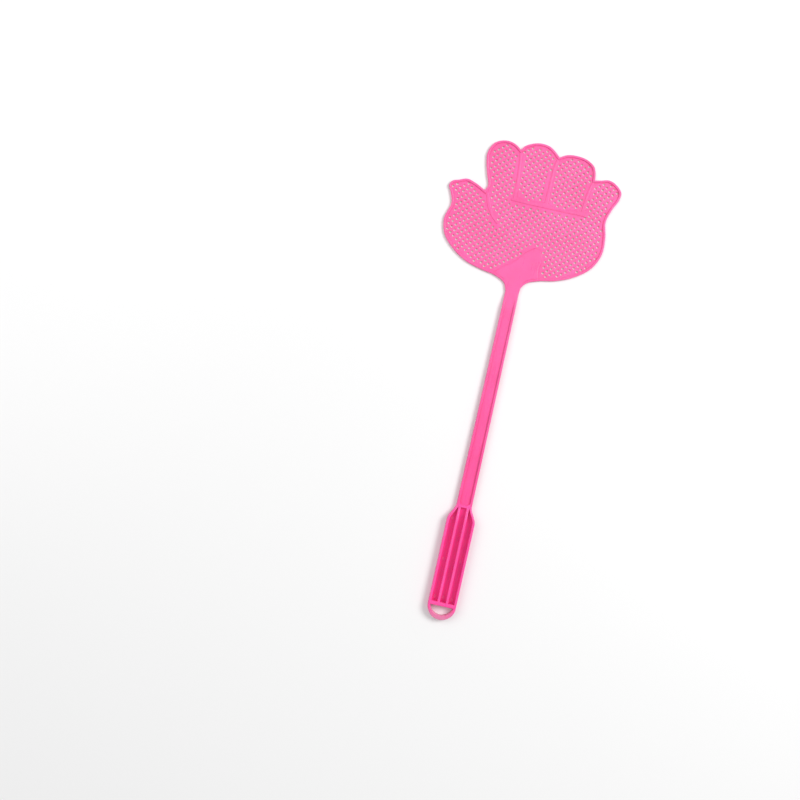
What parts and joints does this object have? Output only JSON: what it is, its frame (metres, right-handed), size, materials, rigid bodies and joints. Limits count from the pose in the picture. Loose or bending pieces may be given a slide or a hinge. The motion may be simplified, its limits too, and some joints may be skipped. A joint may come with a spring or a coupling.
{
  "type": "fly swatter",
  "caption": "Hand-shaped fly swatter moulded in one piece of pink plastic, with a perforated palm, a channelled stem, a ribbed handle and a hanging eye.",
  "frame": {"origin": "middle of the bounding box at its base, so on the flat back face, 220 mm from the end of the handle and on the stem's centre line", "axes": "+Y from the handle to the fingertips, +X across to the side of the little finger, +Z out of the flat back towards the ribbed front"},
  "size_m": [0.154, 0.44, 0.008],
  "materials": {
    "web_plastic": "slightly translucent moulded polypropylene, soft gloss",
    "rib_plastic": "the same polypropylene on the raised beads, rails and ribs, soft gloss",
    "handle_plastic": "the same polypropylene where it is thicker, so deeper in colour"
  },
  "bodies": {
    "root": {"palm_web": "web_plastic", "thumb_web": "web_plastic", "index_web": "web_plastic", "middle_web": "web_plastic", "ring_web": "web_plastic", "little_web": "web_plastic", "head_rim": "rib_plastic", "thumb_rib": "rib_plastic", "index_rib": "rib_plastic", "middle_rib": "rib_plastic", "little_rib": "rib_plastic", "palm_crease": "rib_plastic", "neck_fan": "rib_plastic", "stem_web": "rib_plastic", "stem_rail_left": "rib_plastic", "stem_rail_right": "rib_plastic", "stem_bridge": "handle_plastic", "handle_floor": "handle_plastic", "handle_wall_left": "handle_plastic", "handle_wall_right": "handle_plastic", "grip_rib_left": "handle_plastic", "grip_rib_right": "handle_plastic", "end_wall": "handle_plastic", "hang_loop": "handle_plastic", "ejector_marks": "handle_plastic"}
  },
  "joints": []
}
